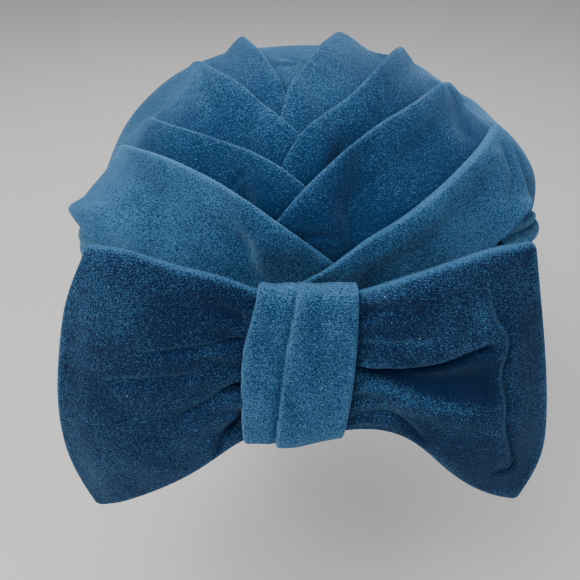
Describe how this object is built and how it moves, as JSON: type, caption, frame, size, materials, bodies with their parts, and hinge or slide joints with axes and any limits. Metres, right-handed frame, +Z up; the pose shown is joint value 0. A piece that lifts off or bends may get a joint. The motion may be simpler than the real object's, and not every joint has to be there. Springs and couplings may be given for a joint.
{
  "type": "turban headwrap",
  "caption": "Soft velvet turban headwrap: hollow crown, folds crossing at the front, gathered back opening and a flat padded bow with a wound knot.",
  "frame": {"origin": "middle of the head opening, at the level of its rim over the ears", "axes": "+Z up through the crown, -Y to the front, where the bow is, +X to the right as seen from the front"},
  "size_m": [0.2273, 0.2344, 0.1784],
  "materials": {
    "crown_velvet": "soft stretch velvet with a short pile",
    "casing_velvet": "soft stretch velvet with a short pile",
    "fold_velvet": "soft stretch velvet with a short pile",
    "bow_velvet": "soft stretch velvet with a short pile",
    "knot_velvet": "soft stretch velvet with a short pile"
  },
  "bodies": {
    "root": {"crown_cap": "crown_velvet", "gathered_casing": "casing_velvet", "wrap_left_4": "fold_velvet", "wrap_right_4": "fold_velvet", "wrap_left_3": "fold_velvet", "wrap_right_3": "fold_velvet", "wrap_left_2": "fold_velvet", "wrap_right_2": "fold_velvet", "wrap_left_1": "fold_velvet", "wrap_right_1": "fold_velvet", "bow_left": "bow_velvet", "bow_right": "bow_velvet", "bow_knot": "knot_velvet"}
  },
  "joints": []
}
